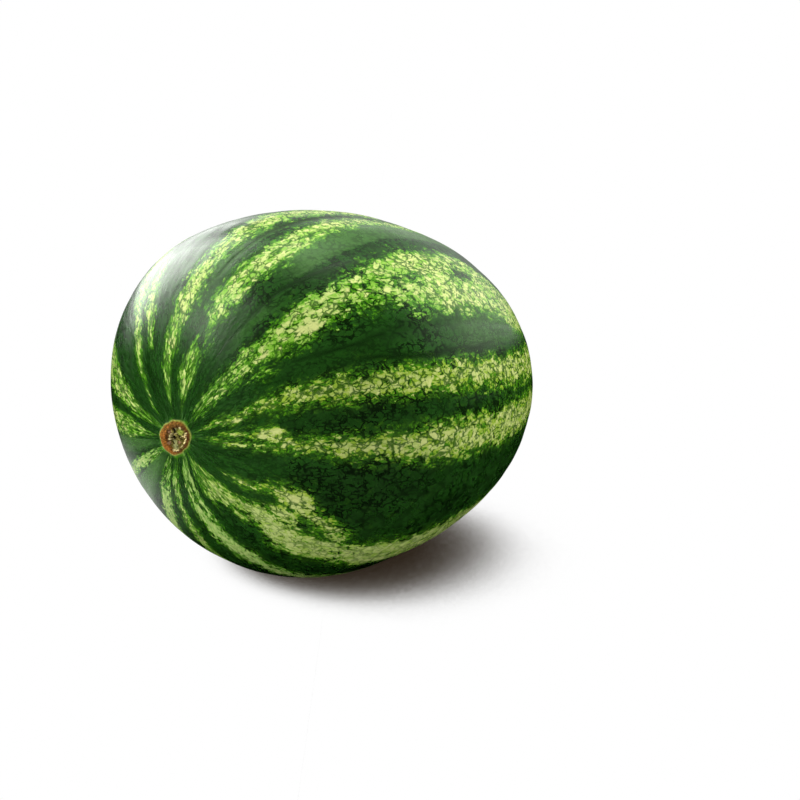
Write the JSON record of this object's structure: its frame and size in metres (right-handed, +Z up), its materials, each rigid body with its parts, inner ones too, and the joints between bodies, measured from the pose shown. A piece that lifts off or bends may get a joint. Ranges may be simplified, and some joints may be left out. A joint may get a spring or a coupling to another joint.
{
  "type": "watermelon",
  "caption": "Whole striped watermelon lying on its side, with a corky stem scar, a small blossom scar, shallow lengthwise lobes and a small flat spot to rest on.",
  "frame": {"origin": "middle of the fruit's box at the level of the surface that it rests on", "axes": "+Z up; the stem scar faces -X and the blossom scar +X, so X runs along the fruit; Y runs across it"},
  "size_m": [0.2392, 0.2386, 0.2065],
  "materials": {
    "rind": "waxy, satin-glossy dark green rind with ragged pale yellow-green stripes and a fine net; corky brown stem scar"
  },
  "bodies": {
    "root": {"watermelon": "rind"}
  },
  "joints": []
}
